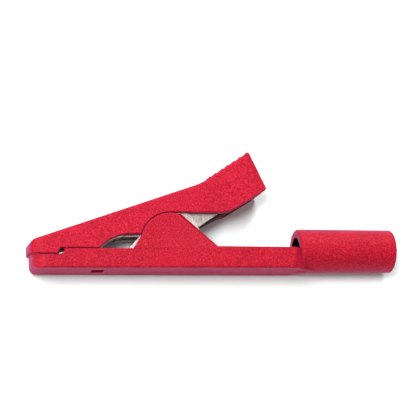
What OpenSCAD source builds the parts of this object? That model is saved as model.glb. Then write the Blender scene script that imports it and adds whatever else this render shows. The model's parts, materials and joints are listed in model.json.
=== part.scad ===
// Insulated alligator clip with a 4 mm banana socket, lying on its side.
// X runs from the jaw tips to the socket mouth, Y is the way the jaws open, Z is across the clip.

/* [Jaws] */
// Pivot to the tip of the upper jaw
tip_reach = 31.1; // [24:0.1:40]
// How far the upper tip overhangs the lower tip
tip_overhang = 0.6; // [0.2:0.1:1.5]
// Half width of the covers near the jaw tips
front_half_width = 4.28; // [4.2:0.01:4.6]
// Half width of the covers where the handle ends
rear_half_width = 4.77; // [4.6:0.01:5.2]
// Radius of the jaw tips seen from above
nose_corner_r = 3; // [1:0.1:3.2]
// Height of the parting line behind the lip, from the pivot
parting_y = -0.93; // [-1.4:0.01:-0.6]
// Height of the parting line along the front lip
lip_y = -2.17; // [-2.6:0.01:-1.8]
// Clearance between the closed covers
parting_gap = 0.12; // [0.1:0.01:0.3]
// Pitch of the metal teeth
tooth_pitch = 1.3; // [0.9:0.1:2]
// Depth of the metal teeth
tooth_depth = 0.5; // [0.2:0.05:0.8]

/* [Lever] */
// Slope of the top of the upper jaw
jaw_slope = 18.58; // [14:0.1:22]
// Height of the jaw's top line above the pivot
top_over_pivot = 11.27; // [10.6:0.01:12]
// Slope of the thumb pad
pad_slope = 32.7; // [28:0.1:36]
// Where the thumb pad starts
pad_start_x = 6.42; // [5:0.1:8]
// Number of grip ridges on the thumb pad
ridges = 7; // [3:1:8]
// Pitch of the grip ridges along X
ridge_pitch = 1.43; // [1:0.01:1.6]
// Depth of the grip ridges
ridge_depth = 0.3; // [0.1:0.05:0.5]
// Radius of the cut-out that turns round the cheeks
recess_r = 7.1; // [6.9:0.05:7.3]
// How far the lever can be squeezed, in degrees
squeeze_angle = 28; // [25:1:29]

/* [Body] */
// Bottom of the lower cover, from the pivot
bottom_y = -5.25; // [-5.6:0.01:-5]
// Top of the handle, from the pivot
handle_top_y = -0.5; // [-0.8:0.01:-0.3]
// Length from the pivot to the corner where the handle narrows
handle_reach = 27.7; // [25:0.1:28.5]
// Wall thickness of the covers
wall = 1.2; // [1:0.05:1.4]

/* [Socket] */
// Outer radius of the barrel at its jaw end
barrel_r = 4.86; // [4.8:0.01:5.2]
// Mould draft of the barrel, on its radius
barrel_draft = 0.08; // [0:0.01:0.15]
// Length of the barrel
barrel_length = 22.3; // [18:0.1:26]
// Radius of the socket bore for a 4 mm plug
socket_r = 2; // [1.95:0.01:2.05]
// Depth of the socket bore
socket_depth = 19; // [14:0.5:19.5]
// Outer radius of the socket sleeve
sleeve_r = 2.8; // [2.5:0.05:3.2]

/* [Metal] */
// Thickness of the jaw metal
metal = 0.6; // [0.4:0.05:0.7]
// Radius of the pivot pin
pin_r = 1.1; // [0.9:0.05:1.3]
// Wire diameter of the torsion spring
wire_d = 0.7; // [0.4:0.05:0.8]
// Turns of the torsion spring
spring_turns = 4; // [3:1:5]

/* [Hidden] */
$fn = 96;
play = 0.05;
big = 60;
half_gap = parting_gap / 2;

// barrel
barrel_y = -0.6;
barrel_x = handle_reach + 1.65;
barrel_end = barrel_x + barrel_length;
// the handle's corners are cut down to this half width inside the barrel
neck_x = barrel_x + 2.65;
neck_half = 1.5;
// layers across the clip, as half widths from the middle plane
outer_metal_z = 3.2;
outer_channel_z = outer_metal_z + play;
inner_metal_z = outer_metal_z - metal - 0.1;
inner_channel_z = inner_metal_z + play;
ear_pocket_z = outer_metal_z + 0.1;
ear_pocket_r = 8.6;
// radial clearance of fitted round parts, and how deep the pin's ends sit
fit_gap = 0.02;
pin_length = 7.9;
// where the lower jaw's metal lies
floor_y = bottom_y + wall;
metal_floor_y = floor_y + play;
lower_tip_x = -tip_reach + tip_overhang;

// Points on an arc, both ends included
function arc(centre, r, from, to, steps) =
    [for (i = [0 : steps]) let (a = from + (to - from) * i / steps)
        [centre[0] + r * cos(a), centre[1] + r * sin(a)]];

// Zigzag of a number of teeth from x0 on, about height y
function teeth(x0, count, y) =
    [for (i = [0 : 2 * count]) [x0 + i * tooth_pitch / 2, y + (i % 2 == 0 ? -1 : 1) * tooth_depth / 2]];
function backwards(points) = [for (i = [len(points) - 1 : -1 : 0]) points[i]];

// Straight top line of the upper jaw and of the thumb pad, set in by a depth
function jaw_top(x, depth = 0) = top_over_pivot + x * tan(jaw_slope) - depth / cos(jaw_slope);
function pad_top(x, depth = 0) =
    jaw_top(pad_start_x) + (x - pad_start_x) * tan(pad_slope) - depth / cos(pad_slope);
function kink_x(depth) =
    pad_start_x + depth * (1 / cos(pad_slope) - 1 / cos(jaw_slope)) / (tan(pad_slope) - tan(jaw_slope));

// The lever's end face and its lower edge
end_slope = -2.28;
end_top_x = 18.31;
end_low_x = 22.04;
end_top = [end_top_x, pad_top(end_top_x)];
end_low = [end_low_x, end_top[1] + end_slope * (end_low_x - end_top_x)];
// The corner between thumb pad and end face is rounded.
corner_r = 0.55;
corner_from = 90 + pad_slope;
corner_to = 90 + atan(end_slope);
corner_mid = (corner_from + corner_to) / 2;
corner_centre = end_top
    - corner_r / cos((corner_from - corner_to) / 2) * [cos(corner_mid), sin(corner_mid)];
pad_end_x = corner_centre[0] + corner_r * cos(corner_from);
// Fully squeezed, the lever's lower corner stops this far above the handle.
stop_gap = 0.52;
lever_low = [(recess_r * cos(squeeze_angle) - handle_top_y - stop_gap) / sin(squeeze_angle), recess_r];
// Its lower corner is a wide round between the cut-out and the lower edge.
lower_slope = atan2(end_low[1] - lever_low[1], end_low[0] - lever_low[0]);
lower_round_r = 9;
lower_round_centre = [lever_low[0] - lower_round_r * tan(lower_slope / 2), recess_r + lower_round_r];

// Opening in the side of the upper jaw
arch_centre = [-9.1, -6.85];
arch_r = 9.07;
arch_top_y = 2.22;
rail_upper = parting_y + half_gap;
rail_lower = parting_y - half_gap;
lip_upper = lip_y + half_gap;
lip_lower = lip_y - half_gap;
step_r = 1.2;
step_x = -23.6;

nose_r = 1.8;
nose_centre = [nose_r - tip_reach, jaw_top(nose_r - tip_reach, nose_r)];
nose_rise = 0.45;
lip_bend_x = -28.4;

ridge_points = [for (i = [0 : ridges - 1], part = [0, 1])
    let (peak = end_top_x - 0.62 - (ridges - 1 - i) * ridge_pitch, top = min(peak, pad_end_x))
    part == 0 ? [peak - 0.85, pad_top(peak - 0.85) - ridge_depth] : [top, pad_top(top)]];

upper_outline = concat(
    [[-tip_reach, lip_upper + nose_rise]],
    arc(nose_centre, nose_r, 180, 90 + jaw_slope, 10),
    [[pad_start_x, jaw_top(pad_start_x)]],
    ridge_points,
    arc(corner_centre, corner_r, corner_from - 10, corner_to, 8),
    [end_low, [end_low[0] - 0.3, end_low[1] - 0.3]],
    arc(lower_round_centre, lower_round_r, lower_slope - 90, -90, 8),
    arc([0, 0], recess_r, 90, 180 - asin(arch_top_y / recess_r), 32),
    arc(arch_centre, arch_r, 90, 180 - asin((rail_upper - arch_centre[1]) / arch_r), 28),
    [[step_x - 0.9, rail_upper], [step_x - 1.6, lip_upper], [lip_bend_x, lip_upper]]);

// Cheek: a round plate about the pivot with a straight slope down to the handle
cheek_r = recess_r - 0.15;
// The cheeks' flats are set in a little above the parting line.
cheek_relief = 0.02;
slope_start = 68;
cheek_foot_x = 10.33;
low_nose_r = 1.5;
cheek_points = concat(
    [[-8.6, rail_lower], [-7.75, 0.15]],
    arc([0, 0], cheek_r, 165, slope_start, 36),
    [[cheek_foot_x, handle_top_y]]);
lower_outline = concat(
    [[lower_tip_x, lip_lower + 0.4]],
    arc([lower_tip_x + low_nose_r, bottom_y + low_nose_r], low_nose_r, 180, 270, 8),
    [[neck_x, bottom_y], [neck_x, handle_top_y]],
    backwards(cheek_points),
    [[step_x, rail_lower]],
    arc([step_x - step_r, lip_lower + step_r], step_r, 0, -90, 8),
    [[lip_bend_x, lip_lower]]);

// Spring: coil about the pivot and two straight legs towards the handle
coil_r = 2.1;
wire_sides = 8;
coil_steps = 20;
coil_pitch = wire_d + 0.06;
leg_up_angle = 48;
leg_down_angle = -6;
leg_up = 13.2;
leg_down = 9;
coil_sweep = 360 * spring_turns - 180 - leg_up_angle + leg_down_angle;
coil_half = coil_pitch * coil_sweep / 720;
coil_from = leg_up_angle + 90;
spring_path = concat(
    [[coil_r * cos(coil_from) + leg_up * cos(leg_up_angle),
      coil_r * sin(coil_from) + leg_up * sin(leg_up_angle), -coil_half]],
    [for (i = [0 : spring_turns * coil_steps])
        let (t = i / (spring_turns * coil_steps), a = coil_from + coil_sweep * t)
        [coil_r * cos(a), coil_r * sin(a), -coil_half + 2 * coil_half * t]],
    [[coil_r * cos(leg_down_angle - 90) + leg_down * cos(leg_down_angle),
      coil_r * sin(leg_down_angle - 90) + leg_down * sin(leg_down_angle), coil_half]]);

// Where the clip lies: its lowest side on Z = 0, the middle of its box over the origin
box_mid_x = (barrel_end - tip_reach) / 2;
box_mid_y = (max([for (p = upper_outline) p[1]]) + barrel_y - barrel_r) / 2;
module placed() translate([-box_mid_x, -box_mid_y, barrel_r]) children();

// A plate of the given side view between two heights either side of the middle plane
module layer(z_low, z_high) {
    translate([0, 0, z_low]) linear_extrude(z_high - z_low) children();
    translate([0, 0, -z_high]) linear_extrude(z_high - z_low) children();
}
module slab(half) translate([0, 0, -half]) linear_extrude(2 * half) children();

// Plan view of a cover: rounded nose, sides that widen a little, corners cut where the barrel starts
module plan(tip_x, inset = 0) {
    side = front_half_width - inset - nose_corner_r;
    for (way = [-1, 1]) translate([tip_x + nose_corner_r, way * side]) circle(nose_corner_r);
    translate([tip_x, -side]) square([nose_corner_r, 2 * side]);
    polygon([
        [tip_x + nose_corner_r, inset - front_half_width], [handle_reach, inset - rear_half_width],
        [neck_x, -neck_half], [neck_x, neck_half],
        [handle_reach, rear_half_width - inset], [tip_x + nose_corner_r, front_half_width - inset]]);
}
// Extrusion of a plan view through the height of the clip
module plan_block(tip_x, inset = 0)
    translate([0, big / 2, 0]) rotate([90, 0, 0]) linear_extrude(big) plan(tip_x, inset);

// Lower cover: where its wide channel ends, the slot behind it, and the window under the jaws
channel_end = 14;
tail_slot_half = 2.3;
window_x = -17.2;
window_length = 2.8;
window_half = 1.35;

module lower_cover() placed() color("#cf3046") {
    difference() {
        union() {
            intersection() {
                slab(rear_half_width + 1) polygon(lower_outline);
                union() {
                    plan_block(lower_tip_x, cheek_relief);
                    intersection() {
                        plan_block(lower_tip_x);
                        slab(rear_half_width + 1) polygon([
                            [-big, -big], [big, -big], [big, big],
                            [cheek_foot_x, big], [cheek_foot_x, rail_lower], [-big, rail_lower]]);
                    }
                }
            }
            translate([barrel_x, barrel_y, 0]) rotate([0, 90, 0])
                cylinder(h = barrel_length, r1 = barrel_r, r2 = barrel_r - barrel_draft);
        }
        // room for the lower jaw, open at the top
        slab(outer_channel_z) polygon([
            [lower_tip_x + wall, floor_y], [channel_end, floor_y],
            [channel_end, big], [lower_tip_x + wall, big]]);
        // slot for the tail, then the bore that holds the sleeve
        slab(tail_slot_half) polygon([
            [channel_end - 1, floor_y], [barrel_x, floor_y], [barrel_x, big], [channel_end - 1, big]]);
        translate([barrel_x - 1, barrel_y, 0]) rotate([0, 90, 0])
            cylinder(h = barrel_length + 2, r = sleeve_r + fit_gap);
        // blind holes for the ends of the pin
        cylinder(h = pin_length + 0.2, r = pin_r + fit_gap, center = true);
        // window that the jaw's lug snaps into
        translate([window_x, floor_y - wall - 1, -window_half])
            cube([window_length, wall + 2, 2 * window_half]);
    }
}

// Upper cover: depth of its inner face, and how far its two channels reach
roof = wall + 0.1;
front_channel_x = wall + 0.25 - tip_reach;
front_channel_end = -10.2;
pad_channel_end = 17.5;
mouth_corner = [20.25, 12.7];

module upper_cover() placed() color("#d93348") {
    difference() {
        intersection() {
            slab(rear_half_width + 1) polygon(upper_outline);
            plan_block(-tip_reach);
        }
        slab(outer_channel_z) polygon([
            [front_channel_x, bottom_y], [front_channel_x, jaw_top(front_channel_x, roof)],
            [front_channel_end, jaw_top(front_channel_end, roof)], [front_channel_end, bottom_y]]);
        slab(inner_channel_z) polygon([
            [front_channel_end - 1, bottom_y], [front_channel_end - 1, jaw_top(front_channel_end - 1, roof)],
            [kink_x(roof), jaw_top(kink_x(roof), roof)],
            [pad_channel_end, pad_top(pad_channel_end, roof)], mouth_corner, [lever_low[0], bottom_y]]);
        // room for the lower jaw's ears to pass inside the side walls
        cylinder(h = 2 * ear_pocket_z, r = ear_pocket_r, center = true);
    }
}

// Side view of the lower jaw's walls, with its teeth and its ears
// The teeth of the two jaws mesh with half this gap either side of the parting line.
mesh_gap = 0.2;
lip_teeth = 3;
lip_teeth_x = -29.15;
rail_teeth = 5;
rail_teeth_x = -23.2;
metal_tip_x = lower_tip_x + wall + play;
metal_floor_end = 12.5;
lower_ear_r = 8.2;
lower_wall = concat(
    [[metal_tip_x, metal_floor_y], [metal_tip_x, lip_y - 0.4]],
    teeth(lip_teeth_x, lip_teeth, lip_y - mesh_gap / 2),
    [[-24.95, lip_y + 0.32], [-23.5, rail_lower - 0.51]],
    teeth(rail_teeth_x, rail_teeth, parting_y - mesh_gap / 2),
    [[-15.9, rail_lower - 0.1], [-9.5, rail_lower - 0.1], [-6.3, 2.6]],
    arc([0, 0], lower_ear_r, 130, 46, 14),
    [[6.43, 4.03], [8, -1.1], [metal_floor_end, -1.6], [metal_floor_end, metal_floor_y]]);
// The tail climbs from the floor to the sleeve's tang, where the rivet joins them.
tail_half = 2;
tail_y = floor_y + 0.95;
tail_rise = [21.5, 23.3];
tail_end = 28.2;
tail_points = [
    [metal_floor_end - 0.1, metal_floor_y], [tail_rise[0], metal_floor_y],
    [tail_rise[1], tail_y], [tail_end, tail_y]];
rivet_x = 26;
rivet_r = 0.8;
rivet_head_r = 1.3;
rivet_head = 0.48;

module lower_jaw() placed() color("#b9b2ab") {
    difference() {
        union() {
            layer(outer_metal_z - metal, outer_metal_z) polygon(lower_wall);
            translate([metal_tip_x, metal_floor_y, -outer_metal_z])
                cube([metal_floor_end - metal_tip_x, metal, 2 * outer_metal_z]);
            slab(tail_half) polygon(concat(
                tail_points, backwards([for (p = tail_points) [p[0] - 0.15, p[1] + metal]])));
            // lug that snaps into the window of the cover
            translate([window_x + 2.1, metal_floor_y - 0.7, 0.75 - window_half])
                cube([metal, 0.9, 2 * window_half - 1.5]);
        }
        slab(big) circle(pin_r + fit_gap);
        translate([rivet_x, 0, 0]) rotate([90, 0, 0]) cylinder(h = big, r = rivet_r + fit_gap);
    }
}

// Side view of the upper jaw's walls; the depth is how far its back is set in from the cover's top
back_in = wall + 0.15;
upper_front_x = front_channel_x + play;
upper_ear_r = 2.6;
pad_metal_end = pad_channel_end - 0.3;
metal_arch_r = arch_r - 0.32;
function back_line(depth) = [
    [upper_front_x, jaw_top(upper_front_x, depth)],
    [kink_x(depth), jaw_top(kink_x(depth), depth)],
    [pad_metal_end, pad_top(pad_metal_end, depth)]];
jaw_back = back_line(back_in);
jaw_back_inner = backwards(back_line(back_in + metal));
// The lower edge of its rear walls, seen in the gap between lever and handle
low_edge = [[19.8, 12.82], [6.3, 3.95]];
// Behind the pivot the walls are bent inwards below that edge, as a wedge that ends on the hem line.
hem_bend = 52;
hem_slope = atan2(low_edge[0][1] - low_edge[1][1], low_edge[0][0] - low_edge[1][0]);
hem_line = [[7.0, 4.3], [15.6, 8.65]];
hem_length = 10;
hem_z = inner_metal_z - 0.06;
hem_start = [6.9, low_edge[1][1] + (6.9 - low_edge[1][0]) * tan(hem_slope)];
// The walls step in behind the teeth.
step_in_x = -10.6;
step_in = 0.6;
upper_wall = concat(
    jaw_back,
    low_edge,
    arc([0, 0], upper_ear_r, -30, -165, 14),
    [[-6.9, arch_top_y - 0.3]],
    arc(arch_centre, metal_arch_r, 90, 180 - asin((rail_upper - arch_centre[1]) / metal_arch_r), 14),
    backwards(teeth(rail_teeth_x, rail_teeth, parting_y + mesh_gap / 2)),
    [[-24.7, rail_upper + 0.2]],
    backwards(teeth(lip_teeth_x, lip_teeth, lip_y + mesh_gap / 2)),
    [[upper_front_x, lip_y + 0.4]]);

module upper_jaw() placed() color("#b9b2ab") {
    difference() {
        union() {
            // front walls wide, rear walls set in so that they pass inside the ears
            intersection() {
                layer(outer_metal_z - metal, outer_metal_z) polygon(upper_wall);
                translate([step_in_x - big, -big, -big]) cube([big, 2 * big, 2 * big]);
            }
            intersection() {
                layer(inner_metal_z - metal, inner_metal_z) polygon(upper_wall);
                translate([step_in_x - step_in, -big, -big]) cube([big, 2 * big, 2 * big]);
            }
            intersection() {
                layer(inner_metal_z - metal, outer_metal_z) polygon(upper_wall);
                translate([step_in_x - step_in, -big, -big]) cube([step_in, 2 * big, 2 * big]);
            }
            // lower edges of the rear walls, bent inwards
            for (side = [0, 1]) mirror([0, 0, side]) intersection() {
                translate([hem_start[0], hem_start[1], hem_z])
                    rotate([0, 0, hem_slope]) rotate([hem_bend, 0, 0])
                        translate([0, -2, -metal]) cube([hem_length, 2.3, metal]);
                slab(hem_z) polygon([
                    hem_line[0], hem_line[1], [hem_line[1][0], big], [hem_line[0][0] - 1, big]]);
            }
            // back
            slab(inner_metal_z) polygon(concat(jaw_back, jaw_back_inner));
            intersection() {
                slab(outer_metal_z) polygon(concat(jaw_back, jaw_back_inner));
                translate([step_in_x - big, -big, -big]) cube([big, 2 * big, 2 * big]);
            }
        }
        slab(big) circle(pin_r + play);
    }
}

module pivot_pin() placed() color("#a9a39c") {
    cylinder(h = pin_length, r = pin_r, center = true);
}

// Round wire along a path in the plane of the clip, as one closed skin
module wire(path, d) {
    last = len(path) - 1;
    rings = [for (i = [0 : last])
        let (before = path[max(i - 1, 0)], after = path[min(i + 1, last)], way = after - before,
             flat = norm([way[0], way[1]]), side = [-way[1] / flat, way[0] / flat, 0])
        [for (k = [0 : wire_sides - 1]) let (a = 360 * k / wire_sides)
            path[i] + d / 2 * (cos(a) * side + sin(a) * [0, 0, 1])]];
    points = [for (ring = rings) for (p = ring) p];
    skin = [for (i = [0 : last - 1], k = [0 : wire_sides - 1]) let (j = (k + 1) % wire_sides)
        [i * wire_sides + k, i * wire_sides + j, (i + 1) * wire_sides + j, (i + 1) * wire_sides + k]];
    caps = [[for (k = [wire_sides - 1 : -1 : 0]) k], [for (k = [0 : wire_sides - 1]) last * wire_sides + k]];
    polyhedron(points, concat(skin, caps), convexity = 6);
}

module torsion_spring() placed() color("#8f8a84") wire(spring_path, wire_d);

module socket_sleeve() placed() color("#c9c2b4") {
    start = barrel_x + 0.75;
    mouth = barrel_end - 0.4;
    tang_y = tail_y + metal;
    tang_x = rivet_x - 2;
    difference() {
        union() {
            translate([start, barrel_y, 0]) rotate([0, 90, 0]) cylinder(h = mouth - start, r = sleeve_r);
            // flat tang that lies on the jaw's tail
            slab(0.8 * tail_half) polygon([
                [tang_x, tang_y], [start + 0.5, tang_y],
                [start + 0.5, tang_y + metal], [tang_x, tang_y + metal]]);
        }
        translate([mouth - socket_depth, barrel_y, 0]) rotate([0, 90, 0])
            cylinder(h = socket_depth + 1, r = socket_r);
        translate([rivet_x, 0, 0]) rotate([90, 0, 0]) cylinder(h = big, r = rivet_r + fit_gap);
    }
}

module tail_rivet() placed() color("#a9a39c") {
    length = 2 * metal + 2 * (rivet_head + fit_gap);
    translate([rivet_x, tail_y - rivet_head - fit_gap, 0]) rotate([-90, 0, 0]) {
        cylinder(h = length, r = rivet_r);
        cylinder(h = rivet_head, r = rivet_head_r);
        translate([0, 0, length - rivet_head]) cylinder(h = rivet_head, r = rivet_head_r);
    }
}

lower_cover();
upper_cover();
lower_jaw();
upper_jaw();
pivot_pin();
torsion_spring();
socket_sleeve();
tail_rivet();
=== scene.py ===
"""Insulated alligator clip with a 4 mm socket, lying on its side on a pale floor."""
import json
import math

import bmesh
import bpy
from mathutils import Matrix, Vector

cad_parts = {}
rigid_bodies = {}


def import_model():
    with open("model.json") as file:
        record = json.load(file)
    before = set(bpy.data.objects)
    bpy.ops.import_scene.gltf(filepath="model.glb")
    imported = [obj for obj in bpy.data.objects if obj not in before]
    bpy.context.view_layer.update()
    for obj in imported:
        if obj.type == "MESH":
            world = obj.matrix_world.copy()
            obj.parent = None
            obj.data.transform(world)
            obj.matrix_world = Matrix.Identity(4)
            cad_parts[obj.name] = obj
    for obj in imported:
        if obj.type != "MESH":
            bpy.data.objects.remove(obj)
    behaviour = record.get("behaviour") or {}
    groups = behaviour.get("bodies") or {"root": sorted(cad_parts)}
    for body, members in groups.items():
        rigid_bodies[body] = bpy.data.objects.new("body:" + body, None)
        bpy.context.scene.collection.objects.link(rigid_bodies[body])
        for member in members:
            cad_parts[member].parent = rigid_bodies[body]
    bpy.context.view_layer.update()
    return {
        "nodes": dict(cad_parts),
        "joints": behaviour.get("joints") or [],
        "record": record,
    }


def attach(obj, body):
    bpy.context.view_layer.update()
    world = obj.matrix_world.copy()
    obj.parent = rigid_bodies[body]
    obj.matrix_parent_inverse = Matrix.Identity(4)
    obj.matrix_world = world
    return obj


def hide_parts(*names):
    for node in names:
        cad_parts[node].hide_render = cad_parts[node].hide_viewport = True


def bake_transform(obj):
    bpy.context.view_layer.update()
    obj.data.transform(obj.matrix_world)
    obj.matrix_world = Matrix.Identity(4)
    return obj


for leftover in list(bpy.data.objects):
    bpy.data.objects.remove(leftover)
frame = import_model()

MM = 0.001
record = frame["record"]
hinge = frame["joints"][0]
pivot = Vector(hinge["pos_m"])
socket = Vector(record["mounts"][0]["pos_m"])
scene = bpy.context.scene


# ---------------------------------------------------------------- camera
def view_axes(turn, tilt, roll):
    """Right, up and back axes of a camera that looks down at the lying clip."""
    back = Vector((-math.sin(turn) * math.cos(tilt), -math.sin(tilt), math.cos(turn) * math.cos(tilt)))
    right = Vector((math.cos(turn), 0, math.sin(turn)))
    up = back.cross(right)
    turned_right = math.cos(roll) * right - math.sin(roll) * up
    turned_up = math.sin(roll) * right + math.cos(roll) * up
    return turned_right, turned_up, back


right, up, back = view_axes(turn=math.radians(15.6), tilt=math.radians(12.5), roll=math.radians(2.86))
aim = pivot + Vector((10.1, 8.6, 0)) * MM
camera_distance = 0.45
camera_data = bpy.data.cameras.new("camera")
camera_data.sensor_width = 36
camera_data.lens = 174.65
camera_data.clip_start = 0.01
camera_data.clip_end = 10
camera = bpy.data.objects.new("camera", camera_data)
scene.collection.objects.link(camera)
camera_turn = Matrix((right, up, back)).transposed().to_4x4()
camera.matrix_world = Matrix.Translation(aim + camera_distance * back) @ camera_turn
scene.camera = camera


# ---------------------------------------------------------------- materials
def new_material(name):
    """A material, its node tree and its shader."""
    mat = bpy.data.materials.new(name)
    mat.use_nodes = True
    return mat, mat.node_tree, mat.node_tree.nodes["Principled BSDF"]


def fill(tree, node, inputs):
    """Sets a node's inputs by name: a socket is linked, anything else is a plain value."""
    for name, value in inputs.items():
        if isinstance(value, bpy.types.NodeSocket):
            tree.links.new(value, node.inputs[name])
        else:
            node.inputs[name].default_value = value


def add(tree, kind, output, inputs):
    """Adds a node with its inputs filled in, and returns one of its outputs."""
    node = tree.nodes.new("ShaderNode" + kind)
    fill(tree, node, inputs)
    return node.outputs[output]


def ramp(tree, value, stops):
    """A colour picked by a value between stops, which are (place, colour) pairs."""
    node = tree.nodes.new("ShaderNodeValToRGB")
    elements = node.color_ramp.elements
    for element, (place, color) in zip(elements, (stops[0], stops[-1])):
        element.position = place
        element.color = (*color, 1)
    for place, color in stops[1:-1]:
        elements.new(place).color = (*color, 1)
    fill(tree, node, {"Fac": value})
    return node.outputs["Color"]


def plastic(name, color, dark, light):
    """Spark-eroded polyamide: mottled colour and a fine leathery grain."""
    mat, tree, shader = new_material(name)
    place = add(tree, "TexCoord", "Object", {})
    grain = add(tree, "TexNoise", "Fac", {"Vector": place, "Scale": 3300, "Detail": 3, "Roughness": 0.6})
    cloud = add(tree, "TexNoise", "Fac", {"Vector": place, "Scale": 160, "Detail": 2})
    mottle = ramp(tree, grain, [(0.3, dark), (0.5, color), (0.7, light)])
    shade = add(tree, "MapRange", "Result",
                {"Value": cloud, "From Min": 0.3, "From Max": 0.7, "To Min": 0.94, "To Max": 1.06})
    fill(tree, shader, {
        "Base Color": add(tree, "HueSaturation", "Color", {"Color": mottle, "Value": shade}),
        "Roughness": add(tree, "MapRange", "Result", {"Value": grain, "To Min": 0.5, "To Max": 0.66}),
        "Normal": add(tree, "Bump", "Normal", {"Height": grain, "Strength": 0.7, "Distance": 0.04 * MM}),
        "IOR": 1.45,
        "Specular IOR Level": 0.15,
        "Sheen Weight": 0.19,
        "Sheen Roughness": 0.4,
        "Sheen Tint": (0.55, 0.12, 1, 1),
    })
    return mat


def metal(name, color, rough_low, rough_high, stretch, bump_depth):
    """Plated sheet or wire with fine rolling marks, stretched along the axes, and bumps in mm."""
    mat, tree, shader = new_material(name)
    place = add(tree, "TexCoord", "Object", {})
    along = add(tree, "Mapping", "Vector", {"Vector": place, "Scale": stretch})
    marks = add(tree, "TexNoise", "Fac", {"Vector": along, "Scale": 1500, "Detail": 4})
    dull = [0.5 * c for c in color]
    rough = add(tree, "MapRange", "Result", {"Value": marks, "To Min": rough_low, "To Max": rough_high})
    bump = add(tree, "Bump", "Normal", {"Height": marks, "Strength": 0.4, "Distance": bump_depth * MM})
    fill(tree, shader, {
        "Metallic": 1,
        "Base Color": ramp(tree, marks, [(0.3, dull), (0.7, color)]),
        "Roughness": rough,
        "Normal": bump,
    })
    return mat


body_red = plastic("body_plastic", (0.36, 0.003, 0.017),
                   dark=(0.20, 0.001, 0.006), light=(0.56, 0.016, 0.040))
lever_red = plastic("lever_plastic", (0.39, 0.003, 0.020),
                    dark=(0.22, 0.001, 0.008), light=(0.60, 0.018, 0.044))
# a darker nickel for the upper jaw's bent-in faces: painted shade standing in for the shadow inside the
# lever
painted_shade_nickel = metal("nickel_fold_painted_shade", (0.10, 0.035, 0.035), 0.5, 0.7, (3, 0.25, 1), 0.03)
nickel = metal("nickel_sheet", (0.86, 0.77, 0.72), 0.34, 0.6, (3, 0.25, 1), 0.05)
pin_steel = metal("pin_steel", (0.66, 0.64, 0.61), 0.22, 0.4, (1, 1, 1), 0.01)
wire_steel = metal("wire_steel", (0.58, 0.56, 0.54), 0.25, 0.42, (1, 1, 0.3), 0.01)
turned = metal("turned_brass", (0.80, 0.76, 0.69), 0.18, 0.34, (6, 0.6, 0.6), 0.01)


# ---------------------------------------------------------------- shapes
# radii of the rounded edges, in mm: outside, where the covers face each other, in the notch, on the metal
OUTER_ROUND = 0.5
INNER_ROUND = 0.2
NOTCH_ROUND = 0.3
METAL_ROUND = 0.06
# places in mm from the pivot: the barrel's axis and start, the corner of the notch behind the lip
barrel_axis = (socket - pivot) / MM
barrel_start = 29.35
notch = Vector((-23.6, -0.95, 0))
# an edge at least this far from the middle plane bounds a flat side
flat_side = 4
# behind this x no edge of the body faces the lever
facing_end = 3
# a rim of the barrel wider than this is its outer one, not the bore's
outer_rim = 4.5


def middle(edge):
    """Middle of an edge, in mm from the hinge pivot."""
    return ((edge.verts[0].co + edge.verts[1].co) / 2 - pivot) / MM


def around(edge):
    """The face beside an edge that isn't a flat side of the clip, or None."""
    sides = [abs(f.normal.z) > 0.9 for f in edge.link_faces]
    return edge.link_faces[sides.index(False)] if sides[0] != sides[1] else None


def convex(edge, degrees):
    """Whether an edge sticks out and its faces meet at more than this angle."""
    return edge.is_convex and edge.calc_face_angle(0) > math.radians(degrees)


def thin(edge):
    """Whether an edge bounds a strip that is only a small step in a wall."""
    return min(f.calc_area() for f in edge.link_faces) < 0.1 * MM * edge.calc_length()


def lever_rounds(edge):
    """Radius in mm: wide along the outside of the lever, narrow where it faces the body."""
    face = around(edge)
    if not face or not convex(edge, 28) or thin(edge) or abs(middle(edge).z) < flat_side:
        return 0
    return OUTER_ROUND if face.normal.y > -0.1 else INNER_ROUND


def body_rounds(edge):
    """Radius in mm: wide outside and at the barrel's rims, narrow along the parting line and cheeks."""
    p = middle(edge)
    from_axis = math.hypot(p.y - barrel_axis.y, p.z)
    ends = [abs(f.normal.x) > 0.98 for f in edge.link_faces]
    if p.x > barrel_start - 0.05 and ends[0] != ends[1] and convex(edge, 60):
        return OUTER_ROUND if from_axis > outer_rim else INNER_ROUND
    face = around(edge)
    if not face or not convex(edge, 28) or thin(edge) or abs(p.z) < flat_side:
        return 0
    if face.normal.y < 0.1 or p.x > facing_end:
        return OUTER_ROUND
    in_notch = notch.x - 1.3 < p.x < notch.x + 0.1 and p.y < notch.y
    return NOTCH_ROUND if in_notch else INNER_ROUND


def bent_in(face):
    """Whether a face of the upper jaw belongs to the edges bent in behind the pivot.

    Such a face slopes, and lies behind the pivot's ears, below the back and near the middle plane. These
    faces get a darker nickel as painted shade."""
    p = (face.center - pivot) / MM
    return p.x > 6 and p.y < 9 and abs(p.z) < 2 and 0.2 < abs(face.normal.y) < 0.95


def metal_rounds(edge):
    """Radius in mm: the same small one along every sharp edge of a folded sheet."""
    return METAL_ROUND if convex(edge, 40) else 0


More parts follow.
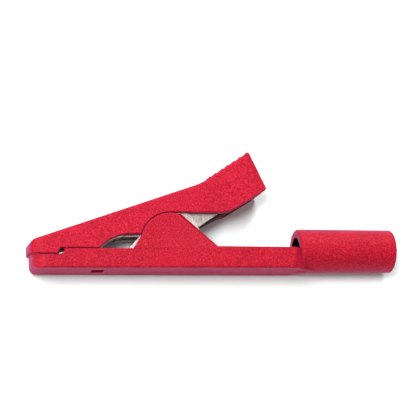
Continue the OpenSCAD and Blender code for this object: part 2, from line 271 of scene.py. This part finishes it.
def refined(node, name, material, radius, widest, fold=None):
    """A copy of a CAD node with edges rounded by the radius that a function gives, in mm.

    Faces for which fold is true get a darker nickel, which is painted shade for the fold."""
    bm = bmesh.new()
    bm.from_mesh(frame["nodes"][node].data)
    bmesh.ops.remove_doubles(bm, verts=bm.verts, dist=0.002 * MM)
    bmesh.ops.dissolve_limit(bm, angle_limit=math.radians(0.6), verts=bm.verts, edges=bm.edges)
    bm.normal_update()
    weight = bm.edges.layers.float.new("bevel_weight_edge")
    for edge in bm.edges:
        if len(edge.link_faces) == 2:
            edge[weight] = radius(edge) / widest
    mesh = bpy.data.meshes.new(name)
    bm.to_mesh(mesh)
    bm.free()
    mesh.materials.append(material)
    if fold:
        # the fold faces get the darker nickel, which is painted shade
        mesh.materials.append(painted_shade_nickel)
        for face in mesh.polygons:
            face.material_index = int(fold(face))
    mesh.shade_smooth()
    mesh.set_sharp_from_angle(angle=math.radians(30))
    piece = bpy.data.objects.new(name, mesh)
    scene.collection.objects.link(piece)
    bevel = piece.modifiers.new("rounds", "BEVEL")
    bevel.limit_method = "WEIGHT"
    bevel.width = widest * MM
    bevel.segments = 4
    bevel.use_clamp_overlap = False
    bevel.miter_outer = "MITER_ARC"
    weighted = piece.modifiers.new("weighted", "WEIGHTED_NORMAL")
    weighted.keep_sharp = True
    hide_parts(node)
    return piece


lever_shell = refined("upper_cover", "lever_shell", lever_red,
                      lever_rounds, OUTER_ROUND)
body_shell = refined("lower_cover", "body_shell", body_red,
                     body_rounds, OUTER_ROUND)
lower_sheet = refined("lower_jaw", "lower_jaw_sheet", nickel,
                      metal_rounds, METAL_ROUND)
# the upper jaw's bent-in faces are darkened as painted shade
upper_sheet = refined("upper_jaw", "upper_jaw_sheet", nickel,
                      metal_rounds, METAL_ROUND, bent_in)
for piece in (lever_shell, upper_sheet):
    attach(piece, "lever")
for piece in (body_shell, lower_sheet):
    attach(piece, "body")

# the spring wire, rounded by one step of subdivision and baked where it stands; it is attached to no body
spring = refined("torsion_spring", "spring_wire", wire_steel, lambda edge: 0, METAL_ROUND)
rounder = spring.modifiers.new("round", "SUBSURF")
rounder.levels = 1
rounder.render_levels = 1
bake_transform(spring)

for node, material in (("pivot_pin", pin_steel), ("socket_sleeve", turned), ("tail_rivet", pin_steel)):
    mesh = frame["nodes"][node].data
    mesh.materials.clear()
    mesh.materials.append(material)


# ---------------------------------------------------------------- floor and light
def floor_material():
    """Pale paper with a faint cold glow."""
    mat, tree, shader = new_material("floor_paper")
    fibres = add(tree, "TexNoise", "Fac", {"Scale": 900})
    fill(tree, shader, {
        "Base Color": ramp(tree, fibres, [(0, (0.86, 0.92, 0.92)), (1, (0.88, 0.95, 0.95))]),
        "Roughness": 0.9,
        "Emission Color": (0.75, 0.95, 1, 1),
        "Emission Strength": 0.02,
    })
    return mat


floor_mesh = bpy.data.meshes.new("floor")
half = 3
corners = [(-half, -half, 0), (half, -half, 0), (half, half, 0), (-half, half, 0)]
floor_mesh.from_pydata(corners, [], [(0, 1, 2, 3)])
floor_mesh.materials.append(floor_material())
floor = bpy.data.objects.new("floor", floor_mesh)
scene.collection.objects.link(floor)


def softbox(name, direction, distance, size, power):
    """An area light that faces the clip from a direction in the camera's own axes."""
    data = bpy.data.lights.new(name, "AREA")
    data.shape = "DISK"
    data.size = size
    data.energy = power
    light = bpy.data.objects.new(name, data)
    way = (direction[0] * right + direction[1] * up + direction[2] * back).normalized()
    light.location = aim + distance * way
    light.rotation_euler = way.to_track_quat("Z", "Y").to_euler()
    scene.collection.objects.link(light)


world = bpy.data.worlds.new("studio")
scene.world = world
world.use_nodes = True
world.node_tree.nodes["Background"].inputs["Color"].default_value = (1, 1, 1, 1)
world.node_tree.nodes["Background"].inputs["Strength"].default_value = 0.27
softbox("front", (-0.2, 0.31, 1), distance=0.8, size=0.34, power=7.0)
softbox("top", (0.25, 1.2, 0.5), distance=0.8, size=0.4, power=5.8)
softbox("low", (0.1, -1, 0.45), distance=0.8, size=0.3, power=0.8)
scene.view_settings.view_transform = "Standard"
